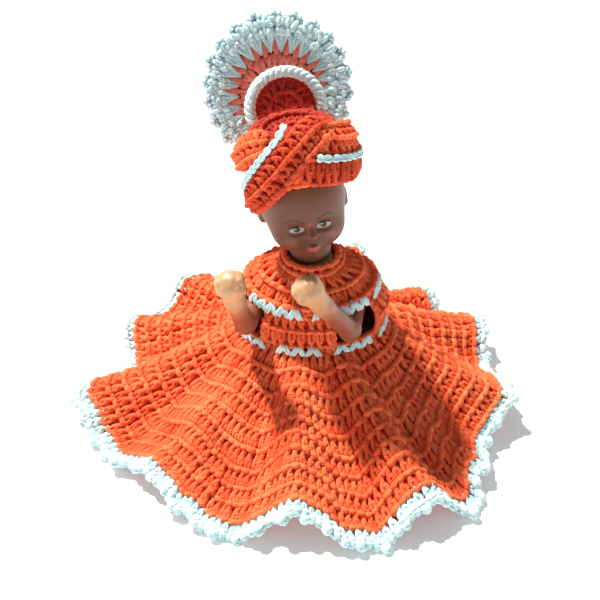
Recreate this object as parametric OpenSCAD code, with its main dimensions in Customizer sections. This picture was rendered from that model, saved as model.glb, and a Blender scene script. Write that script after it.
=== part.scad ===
// A small jointed doll in a crocheted frock, with a crocheted turban and fan crest.
// Millimetres, +Z up, the doll faces -Y. The origin is on the ground under the middle of the skirt.

/* [Doll] */
// How far the doll stands to the side of the middle of the skirt
doll_x = 8.1; // [4:0.1:12]
// Radius of the chest
chest_r = 15; // [14.5:0.5:15.5]
// Thickness of the moulded plastic
wall = 1.6; // [1.2:0.1:2]
// Height of the shoulder axis above the ground
shoulder_z = 64; // [62:1:66]
// Height of the hip axis above the ground
hip_z = 42; // [40:1:44]
// Height of the joint between body and neck
neck_z = 84; // [83:0.5:86]
// Sideways lean of the head, in degrees
head_tilt = 8; // [0:1:10]
// Turn of the head towards +X, in degrees
head_yaw = 10; // [0:1:15]
// Radius of the shoulder and hip stubs
stub_r = 4; // [3:0.5:4]
// Radius of a fist
fist_r = 6.8; // [6:0.2:7]

/* [Frock] */
// Thickness of the crocheted cloth
cloth = 2.4; // [2:0.1:2.8]
// Half width of the waist
waist_rx = 34; // [33:0.5:35]
// Half depth of the waist
waist_ry = 26; // [25:0.5:28]
// Height of the seam at the waist
waist_z = 50; // [49:0.5:52]
// Width of the white border along the hem
hem_w = 7; // [5:0.5:9]

/* [Turban] */
// Radius of the turban's cap
turban_r = 23; // [22.5:0.5:24]
// Lean of the fan crest behind the upright, in degrees
crest_lean = 24; // [15:1:30]
// Radius of the fan crest
crest_r = 33.4; // [28:0.2:34]

/* [Hidden] */

orange = [0.93, 0.30, 0.11];
deep_orange = [0.80, 0.20, 0.12];
white = [0.86, 0.92, 0.92];
skin = [0.86, 0.66, 0.48];
pearl = [0.94, 0.92, 0.86];

fit = 0.05;         // radial clearance of a stub in its hole
gap = 0.3;          // room between bodies that slide past each other
seam = 0.1;         // room between pieces that are sewn together

skirt_x = doll_x - 4;                  // where the folds of the skirt spread from
mid_y = -2.95;                        // the doll and the folds lie this far from the middle of the bounds
// The folds, one row each, anticlockwise from +X:
// angle, reach and lift of the fold's crest; angle, reach and lift of the valley after it
folds = [[ 25, 100, 14,  38,  94, 2],
         [ 48,  98, 12,  60,  91, 3],
         [ 75, 107, 20,  89,  97, 0],
         [101, 101, 13, 113, 100, 0],
         [125, 106, 12, 139, 102, 0],
         [153,  99, 12, 169,  88, 3],
         [187, 107, 11, 204,  99, 0],
         [222,  92,  8, 250,  97, 0],
         [268,  91, 13, 288, 102, 0],
         [303,  99, 14, 314, 107, 0],
         [325,  98,  6, 336,  92, 5],
         [350,  99, 14,  10,  93, 4]];
fold_steps = 6;                       // facets between a crest and a valley
skirt_rows = 8;                       // facets from waist to hem
skirt_top_z = waist_z - 2.3;
hem_floor = 1.3;                      // height of a valley's cloth where it lies on the ground

leg_x = 17.8;                         // the legs' distance from the body's middle plane
arm_x = 21.4;
flange_in = 1.3;                      // thickness of the flange that holds a limb

// ---------------------------------------------------------------- helpers

function lerp(a, b, t) = a + (b - a) * t;
function ease(t) = (1 - cos(180 * t)) / 2;
function unit(v) = v / norm(v);
function flat(l) = [for (a = l) for (b = a) b];

// A closed solid through rings that all have the same number of points.
module loft(rings, closed = false) {
    n = len(rings);
    m = len(rings[0]);
    last = closed ? n - 1 : n - 2;
    sides = [for (i = [0 : last]) for (j = [0 : m - 1])
        let (a = i * m + j, b = i * m + (j + 1) % m,
             c = ((i + 1) % n) * m + (j + 1) % m, d = ((i + 1) % n) * m + j)
        each [[a, b, c], [a, c, d]]];
    caps = closed ? [] : [[for (j = [m - 1 : -1 : 0]) j], [for (j = [0 : m - 1]) (n - 1) * m + j]];
    polyhedron(points = flat(rings), faces = concat(sides, caps), convexity = 10);
}

// An oval section, w by h, as points round its middle.
function oval(w, h, n = 10) = [for (k = [0 : n - 1]) [w / 2 * cos(360 * k / n), h / 2 * sin(360 * k / n)]];

// A ring of the section at point p, with the section's axes along u and v.
function ring_at(p, u, v, section) = [for (q = section) p + u * q[0] + v * q[1]];

// ---------------------------------------------------------------- skirt

// [angle, reach, lift] of every crest and valley in turn
fold_turns = [for (f = folds) each [[f[0], f[1], f[2]], [f[3] < f[0] ? f[3] + 360 : f[3], f[4], f[5]]]];
turns = len(fold_turns);

function hem_turn(i) = i < turns ? fold_turns[i] : fold_turns[i - turns] + [360, 0, 0];
// The hem between two turns, as [angle, reach, lift].
function hem_point(i, t) =
    let (a = hem_turn(i), b = hem_turn(i + 1))
    [lerp(a[0], b[0], t), lerp(a[1], b[1], ease(t)), lerp(a[2], b[2], ease(t))];
hem = [for (i = [0 : turns - 1]) for (k = [0 : fold_steps - 1]) hem_point(i, k / fold_steps)];

// A point of the skirt's outer face, as [distance from the middle, height], s from 0 at the waist to 1 at the hem.
function skirt_profile(h, top_r, s) =
    let (raised = h[2] / 14, bend = lerp(1.5, 1.12, min(1, raised)))
    [lerp(top_r, h[1], s), hem_floor + h[2] + (skirt_top_z - hem_floor - h[2]) * pow(1 - s, bend)];

// Distance of the waist's edge from the origin, in direction a.
function waist_reach(a) =
    let (rx = waist_rx - 1, ry = waist_ry - 1, c = cos(a), s = sin(a),
         A = c * c / (rx * rx) + s * s / (ry * ry), m = doll_x - skirt_x, B = -m * c / (rx * rx),
         C = m * m / (rx * rx) - 1)
    (-B + sqrt(B * B - A * C)) / A;

// The cloth between two shares of the way down, as a closed section for one direction.
function cloth_section(h, s0, s1, rows, half) =
    let (top_r = waist_reach(h[0]),
         mid = [for (k = [0 : rows]) let (s = lerp(s0, s1, k / rows)) skirt_profile(h, top_r, s)],
         nrm = [for (k = [0 : rows])
             let (d = mid[min(rows, k + 1)] - mid[max(0, k - 1)]) unit([-d[1], d[0]])])
    concat([for (k = [0 : rows]) mid[k] + nrm[k] * half], [for (k = [rows : -1 : 0]) mid[k] - nrm[k] * half]);

function turned(h, section) = [for (q = section) [skirt_x + q[0] * cos(h[0]), mid_y + q[0] * sin(h[0]), max(0, q[1])]];

module skirt() {
    color(orange)
    loft([for (h = hem) turned(h, cloth_section(h, 0, 1 - hem_w / 75, skirt_rows, cloth / 2))], closed = true);
}

module hem_border() {
    color(white)
    loft([for (h = hem) turned(h, cloth_section(h, 1 - (hem_w - seam) / 75, 1, 2, cloth / 2 + 0.1))], closed = true);
}

// ---------------------------------------------------------------- bodice

function oval_at(rx, ry, z, a) = [doll_x + rx * cos(a), mid_y + ry * sin(a), z];
function yoke_z(a) = 71.5 + 4 * min(0, sin(a));

// A stretch of shell between two angles. levels gives [half width, half depth, height] from the bottom up.
module shell(a0, a1, levels, steps, closed = false) {
    n = len(levels);
    loft([for (i = [0 : closed ? steps - 1 : steps])
        let (a = lerp(a0, a1, i / steps))
        concat([for (k = [0 : n - 1]) let (l = levels[k]) oval_at(l[0], l[1], l[2] + l[3] * min(0, sin(a)), a)],
               [for (k = [n - 1 : -1 : 0]) let (l = levels[k])
                   oval_at(l[0] - cloth, l[1] - cloth, l[2] + l[3] * min(0, sin(a)) - (k == n - 1 ? 0.4 : 0), a)])],
        closed);
}

// [half width, half depth, height, drop at the front] from the waist to the yoke
bodice_levels = [[waist_rx, waist_ry, waist_z + 1.8, 0],
                 [waist_rx - 0.6, waist_ry - 0.8, 58, 1.5],
                 [waist_rx - 2.4, waist_ry - 2.4, 65, 2.8],
                 [waist_rx - 5.4, waist_ry - 4.5, 70, 4]];
// The sleeves are fuller than the front and back between them.
sleeve_levels = [[waist_rx, waist_ry, waist_z + 1.8, 0],
                 [waist_rx + 1.2, waist_ry + 0.8, 58, 1.5],
                 [waist_rx, waist_ry + 0.2, 65, 2.8],
                 [waist_rx - 5, waist_ry - 4.3, 70, 4]];

module bodice_front() { color(orange) shell(229, 288, bodice_levels, 12); }
module bodice_back() { color(orange) shell(35, 145, bodice_levels, 18); }
module right_sleeve() { color(orange) shell(145.4, 190.5, sleeve_levels, 12); }
module left_sleeve() { color(orange) shell(-31, 34.6, sleeve_levels, 14); }

module yoke() {
    color(orange)
    shell(0, 360, [[waist_rx - 5, waist_ry - 4.2, 73.4, 4],
                   [waist_rx - 10.5, waist_ry - 8, 78.4, 2.6],
                   [14.5, 14, 82.4, 0.6],
                   [12.6, 12.6, 84.6, 0]], 40, closed = true);
}

module yoke_trim() {
    color(white)
    loft([for (i = [0 : 39])
        let (a = 360 * i / 40, out = [cos(a), sin(a), 0])
        ring_at(oval_at(waist_rx - 6, waist_ry - 5.6, yoke_z(a) + 0.35, a), out, [0, 0, 1], oval(3.2, 3))], closed = true);
}

module waist_trim() {
    color(white)
    loft([for (i = [0 : 39])
        let (a = 360 * i / 40, out = [cos(a), sin(a), 0])
        ring_at(oval_at(waist_rx - 0.6, waist_ry - 0.6, waist_z + 0.25, a), out, [0, 0, 1], oval(3.6, 2.8))], closed = true);
}

// The button at the back of the neck, and the loop that closes over it
button_y = 18.6;
button_z = 78.9;

module neck_button() {
    color(pearl)
    translate([doll_x, mid_y + button_y, button_z]) rotate([-56, 0, 0])
    difference() {
        union() {
            cylinder(h = 1.8, r = 3.4, $fn = 48);
            translate([0, 0, -0.9]) cylinder(h = 1, r = 1.2, $fn = 32);
        }
        for (x = [-1, 1]) translate([x, 0, -2]) cylinder(h = 5, r = 0.45, $fn = 24);
    }
}

module button_loop() {
    color(white)
    translate([doll_x, mid_y + button_y, button_z]) rotate([-56, 0, 0]) translate([0, 0, -0.05])
    rotate_extrude($fn = 48) translate([4.3, 0.65]) circle(r = 0.6, $fn = 24);
}

// ---------------------------------------------------------------- body

stub_flange_r = stub_r + 1.2;

// The chest, belly and hips as a turned solid, less than its skin by t.
module torso_turned(t) {
    rotate_extrude($fn = 96)
    polygon([[0, 34.5 + t], [9 - t, 34.5 + t], [11 - t, 36.5 + t], [11 - t, 47.5], [chest_r - 0.8 - t, 51],
             [chest_r - t, 56], [chest_r - t, 68 - t * 0.4], [11.6 - t, 75 - t * 0.5], [9.6 - t, 78], [9.6 - t, neck_z - t], [0, neck_z - t]]);
}

module torso() {
    difference() {
        torso_turned(0);
        torso_turned(wall);
        translate([-40, 0, shoulder_z]) rotate([0, 90, 0]) cylinder(h = 80, r = stub_r + fit, $fn = 64);
        translate([-40, 0, hip_z]) rotate([0, 90, 0]) cylinder(h = 80, r = stub_r + fit, $fn = 64);
        translate([0, 0, neck_z]) rotate([0, -head_tilt, 0]) translate([0, 0, -8]) cylinder(h = 12, r = stub_r + fit, $fn = 64);
    }
}

module torso_front() {
    color(skin) translate([doll_x, mid_y, 0])
    intersection() { torso(); translate([-50, -100.03, 0]) cube([100, 100, 200]); }
}

module torso_back() {
    color(skin) translate([doll_x, mid_y, 0])
    intersection() { torso(); translate([-50, 0.03, 0]) cube([100, 100, 200]); }
}

// The head's own frame: its middle at the top of the neck joint, the face towards -Y
module at_head() {
    translate([doll_x, mid_y, neck_z]) rotate([0, -head_tilt, 0]) rotate([0, 0, head_yaw]) children();
}

module neck_peg() {
    color(skin) at_head() {
        translate([0, 0, -4.6]) cylinder(h = 9.6, r = stub_r, $fn = 64);
        translate([0, 0, 4.4]) cylinder(h = 1.4, r = stub_r + 2, $fn = 64);
        translate([0, 0, -6]) cylinder(h = 1.5, r = stub_r + 1.4, $fn = 64);
    }
}

// Skull and jaw, less than the outside by t.
module head_mass(t) {
    hull() {
        translate([0, 0.5, 35]) sphere(r = 18.8 - t, $fn = 32);
        translate([0, -2.5, 25.5]) sphere(r = 15.2 - t, $fn = 28);
        translate([0, -6.6, 17.6]) sphere(r = 10 - t, $fn = 24);
    }
}

module head_shell() {
    color(skin) at_head()
    difference() {
        union() {
            head_mass(0);
            translate([0, 0, 1.9]) cylinder(h = 18, r = 9.4, $fn = 64);
            for (x = [-1, 1]) translate([x * 17.6, 2, 28]) rotate([0, 90, 0])
                translate([0, 0, -1]) cylinder(h = 2, r = 4.2, $fn = 32);
        }
        head_mass(wall);
        translate([0, 0, 4.1]) cylinder(h = 14, r = 9.4 - wall, $fn = 64);
        cylinder(h = 6, r = stub_r + fit, $fn = 64);
    }
}

// A limb's stub and flange, pointing along -X through the body's side face at x.
module limb_stub(x, z) {
    root = 2.4;                       // how deep the stub is set in the limb
    translate([x + root, 0, z]) rotate([0, -90, 0]) {
        cylinder(h = root + wall + 2.2, r = stub_r, $fn = 64);
        translate([0, 0, root + wall + 1.9]) cylinder(h = flange_in, r = stub_flange_r, $fn = 64);
    }
}

// An arm with its shoulder on the +X side. elbow, wrist and fist are places from the shoulder's middle.
module arm(elbow, wrist, fist) {
    translate([arm_x, 0, shoulder_z]) {
        hull() { sphere(r = 5, $fn = 24); translate(elbow) sphere(r = 4.6, $fn = 24); }
        hull() { translate(elbow) sphere(r = 4.6, $fn = 24); translate(wrist) sphere(r = 4.3, $fn = 24); }
        hull() {
            translate(wrist) sphere(r = 4.3, $fn = 24);
            translate(fist) sphere(r = fist_r, $fn = 28);
        }
    }
    limb_stub(chest_r + 0.6, shoulder_z);
}

module left_arm() {
    color(skin) translate([doll_x, mid_y, 0]) arm([-4.5, -24, -3.5], [-16, -33, 15.5], [-23, -37, 27.5]);
}

module right_arm() {
    color(skin) translate([doll_x, mid_y, 0]) mirror([1, 0, 0]) arm([7.8, -21, -2], [11.4, -28.5, 15.5], [13, -31, 26]);
}

module leg() {
    difference() {
        union() {
            hull() {
                translate([leg_x, 0, hip_z]) sphere(r = 6.2, $fn = 24);
                translate([leg_x, 0, 24]) sphere(r = 5.8, $fn = 24);
            }
            hull() {
                translate([leg_x, 0, 24]) sphere(r = 5.8, $fn = 24);
                translate([leg_x, 0.5, 7.5]) sphere(r = 4.4, $fn = 24);
            }
            hull() {
                translate([leg_x, 0.5, 7.5]) sphere(r = 4.4, $fn = 24);
                translate([leg_x, 1, 0]) cylinder(h = 3, r = 4.6, $fn = 24);
                translate([leg_x + 0.5, -8, 0]) cylinder(h = 3, r = 4.8, $fn = 24);
            }
            limb_stub(11.4, hip_z);
        }
        translate([-50, -50, -10]) cube([100, 100, 10]);
    }
}

module left_leg() { color(skin) translate([doll_x, mid_y, 0]) leg(); }
module right_leg() { color(skin) translate([doll_x, mid_y, 0]) mirror([1, 0, 0]) leg(); }

// ---------------------------------------------------------------- turban

cap_mid = 46;        // height of the cap's widest part in the head's frame
cap_top = 71.5;      // height of its top
cap_brim = 34;       // height of the brim over the ears
brim_rise = 20;      // slope of the brim, up towards the face, in degrees
roundness = 2.5;     // 2 is a ball; more is a flatter crown

// Half the cap's outline from its crown down, smaller than the outside by t.
function cap_line(t, low) = concat(
    [for (k = [0 : 20]) let (q = 1 - pow(k / 20, 2))
        [(turban_r - t) * pow(1 - pow(q, roundness), 1 / roundness), cap_mid + (cap_top - t - cap_mid) * q]],
    [[turban_r - t, low], [0, low]]);

module turban_cap() {
    color(orange) at_head()
    difference() {
        rotate_extrude($fn = 96) polygon(cap_line(0, 20));
        rotate_extrude($fn = 96) polygon([[0, 10], [19.4, 10], [19.4, 40], [17.6, 47.5], [12.5, 54.2], [5, 57.4], [0, 57.8]]);
        translate([0, 0, cap_brim]) rotate([-brim_rise, 0, 0]) translate([-50, -50, -60]) cube([100, 100, 60]);
    }
}

// A point on the turban's dome, out by t: a is the direction, z the height in the head's frame.
function dome(a, z, t) =
    let (q = min(0.998, max(0, (z - cap_mid) / (cap_top - cap_mid))),
         r = turban_r * pow(1 - pow(q, roundness), 1 / roundness), n = dome_normal(a, z))
    [r * cos(a), r * sin(a), z] + n * t;
function dome_normal(a, z) =
    let (q = min(0.998, max(0, (z - cap_mid) / (cap_top - cap_mid))),
         up = pow(q, roundness - 1) / (cap_top - cap_mid),
         out = pow(1 - pow(q, roundness), (roundness - 1) / roundness) / turban_r)
    unit([out * cos(a), out * sin(a), up]);

// A point on a smooth line through the stations, a share t of the way along.
function on_line(st, t) =
    let (n = len(st) - 1, i = min(n - 1, floor(t * n)), u = t * n - i,
         p0 = st[max(0, i - 1)], p1 = st[i], p2 = st[i + 1], p3 = st[min(n, i + 2)])
    0.5 * (2 * p1 + (p2 - p0) * u + (2 * p0 - 5 * p1 + 4 * p2 - p3) * u * u
           + (3 * p1 - p0 - 3 * p2 + p3) * u * u * u);

// A band over the dome through [direction, height, width, thickness] stations, with rounded ends.
module dome_band(st, out, n = 20) {
    line = [for (i = [0 : n]) on_line(st, i / n)];
    p = [for (s = line) dome(s[0], s[1], out)];
    loft([for (i = [0 : n])
        let (nrm = dome_normal(line[i][0], line[i][1]),
             along = unit(p[min(n, i + 1)] - p[max(0, i - 1)]), side = unit(cross(nrm, along)),
             e = min(1, sqrt(max(0.08, min(i, n - i) / 3))))
        ring_at(p[i], side, nrm, oval(line[i][2] * e, line[i][3] * e))]);
}

module brim_band() {
    color(orange) at_head() dome_band([[12, 35, 9, 4.6], [50, 31.5, 9, 4.6], [90, 30, 9, 4.6], [130, 31.5, 9, 4.6], [172, 34.5, 9, 4.6]], 1.6);
}

module diagonal_wrap() {
    color(orange) at_head() dome_band([[322, 66.5, 13, 4.6], [292, 66.5, 14, 5.4], [262, 62, 14, 5.6],
        [238, 53, 14, 5.6], [218, 44.5, 13.4, 5.6], [205, 38.5, 11, 5]], 2.2);
}

module side_wrap() {
    color(orange) at_head() dome_band([[264, 54, 12.5, 4.6], [296, 49.5, 12.5, 4.8], [330, 43.5, 12.5, 5],
        [360, 39.5, 12, 5], [382, 37.5, 10, 4.6]], 1.7);
}

module crown_roll() {
    color(orange) at_head() dome_band([[288, 66, 12, 5], [322, 61, 14, 6.4], [356, 55.5, 14, 6.4], [386, 50.5, 11, 5]], 1.8);
}

module side_roll() {
    color(orange) at_head() dome_band([[228, 66, 11, 4.6], [204, 61, 13, 6], [182, 54.5, 13, 6.2], [166, 46, 10, 5]], 1.6);
}

module diagonal_cord() {
    color(white) at_head() dome_band([[254, 69.6, 2, 2], [232, 62.4, 2, 2], [213, 53.4, 2, 2], [201, 45.4, 2, 2]], 3.7);
}

module side_cord() {
    color(white) at_head() dome_band([[288, 57.5, 2, 2], [316, 53, 2, 2], [345, 48.8, 2, 2], [372, 45.6, 2, 2]], 3.5);
}

// The crest's own frame: its middle on the fan, +Y out through its back
module at_crest() {
    at_head() translate([0.7, 27, 44]) rotate([-crest_lean, 0, 0]) translate([0, 0, 24]) rotate([90, 0, 0]) children();
}

module crest_fan() {
    color(deep_orange) at_crest() translate([0, 0, -1.3]) cylinder(h = 2.6, r = crest_r - 9.5, $fn = 96);
}

module crest_border() {
    color(white) at_crest()
    rotate_extrude($fn = 96) hull() {
        translate([crest_r - 7.3, 0]) circle(r = 2, $fn = 32);
        translate([crest_r - 2.4, 0]) circle(r = 2.4, $fn = 32);
    }
}

shell_r = 17;

module crest_shell() {
    color(deep_orange) at_crest() translate([1.5, -9.5, 1.4])
    rotate_extrude(angle = 180, $fn = 96) polygon([[0, 0], [shell_r - 3.7, 0], [shell_r - 3.7, 2.2], [0, 2.2]]);
}

module crest_shell_rim() {
    color(white) at_crest() translate([1.5, -9.5, 3.75])
    rotate_extrude(angle = 180, $fn = 96) translate([shell_r - 1.2, 0]) circle(r = 2.3, $fn = 32);
}

torso_front();
torso_back();
neck_peg();
head_shell();
right_arm();
left_arm();
right_leg();
left_leg();
yoke();
yoke_trim();
bodice_front();
bodice_back();
right_sleeve();
left_sleeve();
waist_trim();
skirt();
hem_border();
neck_button();
button_loop();
turban_cap();
brim_band();
diagonal_wrap();
side_wrap();
crown_roll();
side_roll();
diagonal_cord();
side_cord();
crest_fan();
crest_border();
crest_shell();
crest_shell_rim();
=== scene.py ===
"""A small jointed doll in a crocheted frock, with a crocheted turban and a fan crest."""
import math
import bpy
import numpy as np
from mathutils import Vector, Matrix


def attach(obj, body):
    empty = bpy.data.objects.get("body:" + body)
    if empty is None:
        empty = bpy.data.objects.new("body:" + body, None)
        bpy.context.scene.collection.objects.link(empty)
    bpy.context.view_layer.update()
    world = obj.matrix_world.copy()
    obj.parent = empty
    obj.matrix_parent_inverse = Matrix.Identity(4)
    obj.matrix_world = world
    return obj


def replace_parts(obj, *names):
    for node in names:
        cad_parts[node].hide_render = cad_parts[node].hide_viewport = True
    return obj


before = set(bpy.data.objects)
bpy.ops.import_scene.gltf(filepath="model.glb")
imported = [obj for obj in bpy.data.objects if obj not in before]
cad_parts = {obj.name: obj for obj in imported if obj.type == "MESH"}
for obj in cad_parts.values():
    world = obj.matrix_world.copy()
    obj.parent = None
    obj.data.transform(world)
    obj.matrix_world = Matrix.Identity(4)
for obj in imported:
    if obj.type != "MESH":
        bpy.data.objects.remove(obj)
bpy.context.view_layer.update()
MM = 0.001
GROUND = 0.00003         # metres: the lowest a point may lie
rng = np.random.default_rng(7)

# ---------------------------------------------------------------- places, in millimetres
MID_Y = -2.95
DOLL_X = 8.1
SKIRT_X = DOLL_X - 4
WAIST_RX, WAIST_RY, WAIST_Z = 34.0, 26.0, 50.0
NECK_Z = 84.0
HEAD_TILT, HEAD_YAW = 8, 10          # degrees
HEM_FLOOR = 1.3
SKIRT_TOP_Z = WAIST_Z - 2.3
BORDER = 7 / 75          # the white border's share of the way down

# angle, reach and lift of each fold's crest, then of the valley after it
FOLDS = [(25, 100, 14, 38, 94, 2), (48, 98, 12, 60, 91, 3), (75, 107, 20, 89, 97, 0),
         (101, 101, 13, 113, 100, 0), (125, 106, 12, 139, 102, 0), (153, 99, 12, 169, 88, 3),
         (187, 107, 11, 204, 99, 0), (222, 92, 8, 250, 97, 0), (268, 91, 13, 288, 102, 0),
         (303, 99, 14, 314, 107, 0), (325, 98, 6, 336, 92, 5), (350, 99, 14, 370, 93, 4)]


def in_scene(name, data):
    ob = bpy.data.objects.new(name, data)
    bpy.context.scene.collection.objects.link(ob)
    return ob


# ---------------------------------------------------------------- camera
def camera():
    cam = in_scene("camera", bpy.data.cameras.new("camera"))
    elevation, distance = math.radians(36), 0.527
    target = Vector((0.0031, -0.00295, 0.0595))
    back = Vector((0, -math.cos(elevation), math.sin(elevation)))
    cam.location = target + back * distance
    cam.rotation_euler = (-back).to_track_quat("-Z", "Y").to_euler()
    cam.data.lens = 69
    cam.data.sensor_width = 36
    cam.data.clip_start = 0.01
    bpy.context.scene.camera = cam


camera()


# ---------------------------------------------------------------- mesh building
def unit(v):
    return v / np.maximum(np.linalg.norm(v, axis=-1, keepdims=True), 1e-12)


def ease(t):
    return (1 - np.cos(np.pi * t)) / 2


def around(a, r, z, ry=None):
    """Points in direction a, in radians, r out and z up; ry out along Y where that is not r."""
    return np.stack(np.broadcast_arrays(r * np.cos(a), (r if ry is None else ry) * np.sin(a), z), -1)


def grid_quads(n_u, n_v, round_u, round_v=False):
    """Quads between the points of a grid, which meets itself where it goes round."""
    idx = np.arange(n_u * n_v).reshape(n_u, n_v)
    if round_u:
        idx = np.concatenate([idx, idx[:1]])
    if round_v:
        idx = np.concatenate([idx, idx[:, :1]], 1)
    return np.stack([idx[:-1, :-1], idx[1:, :-1], idx[1:, 1:], idx[:-1, 1:]], -1).reshape(-1, 4)


def corners(a0, a1, b0, b1):
    """The uv of every quad's corners, from a0 to a1 and from b0 to b1."""
    pairs = ((a0, b0), (a0, b1), (a1, b1), (a1, b0))
    return np.stack([np.stack(np.broadcast_arrays(a, b), -1) for a, b in pairs], -2)


def make_mesh(name, verts, faces, body, material, uv=None, tone=None):
    """A mesh object from points in millimetres and quads."""
    me = bpy.data.meshes.new(name)
    verts = np.asarray(verts, np.float32) * MM
    verts[:, 2] = np.maximum(verts[:, 2], GROUND)      # what reaches the ground lies flat on it
    me.vertices.add(len(verts))
    me.vertices.foreach_set("co", verts.ravel())
    me.loops.add(faces.size)
    me.loops.foreach_set("vertex_index", faces.ravel().astype(np.int32))
    me.polygons.add(len(faces))
    me.polygons.foreach_set("loop_start", np.arange(0, faces.size, 4, dtype=np.int32))
    me.update(calc_edges=True)
    for layer, co in (uv or {}).items():
        me.uv_layers.new(name=layer).data.foreach_set("uv", np.asarray(co, np.float32).ravel())
    if tone is not None:
        me.attributes.new("tone", "FLOAT", "POINT").data.foreach_set("value", np.asarray(tone, np.float32))
    me.polygons.foreach_set("use_smooth", np.ones(len(me.polygons), bool))
    me.materials.append(material)
    me.validate()
    ob = in_scene(name, me)
    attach(ob, body)
    return ob


def tubes(paths, radii, normals, sides):
    """Closed tubes of yarn along paths (K, m, 3) with radii (K, m). Returns points, quads, tube index and uv."""
    K, m, _ = paths.shape
    along = np.empty_like(paths)
    along[:, 1:-1] = paths[:, 2:] - paths[:, :-2]
    along[:, 0] = paths[:, 1] - paths[:, 0]
    along[:, -1] = paths[:, -1] - paths[:, -2]
    along = unit(along)
    side = unit(np.cross(along, normals))
    up = np.cross(side, along)
    a = 2 * np.pi * np.arange(sides) / sides
    r = radii.copy()
    r[:, 0] *= 0.35
    r[:, -1] *= 0.35
    ring = side[:, :, None] * np.cos(a)[:, None] + up[:, :, None] * np.sin(a)[:, None]
    pts = paths[:, :, None] + ring * r[:, :, None, None]
    idx = np.arange(K * m * sides).reshape(K, m, sides)
    nxt = np.roll(idx, -1, axis=2)
    quads = np.stack([idx[:, :-1], nxt[:, :-1], nxt[:, 1:], idx[:, 1:]], -1).reshape(-1, 4)
    step = np.linalg.norm(np.diff(paths, axis=1), axis=-1)
    length = np.concatenate([np.zeros((K, 1)), np.cumsum(step, axis=1)], 1)[..., None]
    # the yarn's own uv: millimetres along, turns around
    v0 = np.arange(sides) / sides
    v1 = v0 + 1 / sides
    yarn = corners(length[:, :-1], length[:, 1:], v0, v1)
    # the bake's uv: every tube has its own cell in a square grid
    n = math.ceil(math.sqrt(K))
    k = np.arange(K)[:, None, None]
    t = k // n + (np.arange(m)[:, None] / (m - 1) * 0.9 + 0.05)
    cell = corners(t[:, :-1], t[:, 1:], k % n + (v0 * 0.9 + 0.05), k % n + (v1 * 0.9 + 0.05))[..., ::-1] / n
    return pts.reshape(-1, 3), quads, (K, m, sides), yarn.reshape(-1, 2), cell.reshape(-1, 2)


SIDES, FIBRE = 7, 0.05           # a strand's sides, and a loose fibre's radius
S9 = np.linspace(0, 1, 9)        # the places along a strand
HUMP = np.sin(np.pi * S9)        # 0 at a strand's ends, 1 in its middle


class Cloth:
    """Collects yarn strands that follow a surface, and makes them one piece."""

    def __init__(self, surface, side=1):
        self.surface = surface        # (u, v) -> points in mm
        self.side = side              # -1 where v runs up instead of down
        self.parts = []

    def frame_at(self, u, v):
        e = 1e-4
        p = self.surface(u, v)
        du = self.surface(u + e, v) - p
        dv = self.surface(u, v + e) - p
        return p, unit(np.cross(dv, du)) * self.side

    def strand(self, u, v, out, radius, tone=0.0):
        """Strands through (u, v), which together make arrays (K, m), lifted out by out mm."""
        u, v = np.broadcast_arrays(u, v)
        p, n = self.frame_at(u, v)
        path = p + n * np.asarray(out)[..., None]
        self.parts.append((path, np.broadcast_to(radius, u.shape).copy(), n, SIDES,
                           np.broadcast_to(tone, (len(u),)).copy()))

    def fuzz(self, per, length):
        """Loose fibres that stand off the yarn, so many to a strand."""
        for path, radius, n, sides, tone in list(self.parts):
            K, m, _ = path.shape
            count = int(K * per)
            i, j = rng.integers(0, K, count), rng.integers(1, m - 1, count)
            nn = np.broadcast_to(n, path.shape)[i, j]
            d = unit(nn + rng.normal(0, 0.75, (count, 3)))
            bend = rng.normal(0, 0.45, (count, 3))
            t = np.linspace(0, 1, 5)[None, :, None]
            long = length * rng.uniform(0.5, 1.3, count)[:, None, None]
            foot = path[i, j] + nn * radius[i, j][:, None] * 0.5
            p = foot[:, None] + (d[:, None] * t + bend[:, None] * t ** 2) * long
            across = np.broadcast_to(rng.normal(0, 1, (count, 1, 3)), p.shape)
            self.parts.append((p, np.full((count, 5), FIBRE), across, 3, tone[i] + 0.4))

    def build(self, name, body, material, fuzz=1.6, length=2.2):
        if fuzz:
            self.fuzz(fuzz, length)
        verts, quads, yarn, cells, tones = [], [], [], [], []
        base = 0
        grid = math.ceil(math.sqrt(len(self.parts)))
        for i, (path, radius, n, sides, tone) in enumerate(self.parts):
            p, q, (K, m, s), y, c = tubes(path, radius, n, sides)
            verts.append(p)
            quads.append(q + base)
            yarn.append(y)
            cells.append((c + [i % grid, i // grid]) / grid)
            tones.append(np.repeat(tone, m * s))
            base += len(p)
        return make_mesh(name, np.concatenate(verts), np.concatenate(quads), body, material,
                         {"yarn": np.concatenate(yarn), "OFBake": np.concatenate(cells)},
                         tone=np.concatenate(tones))


def jitter(K, amount):
    return rng.normal(0, amount, K)


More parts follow.
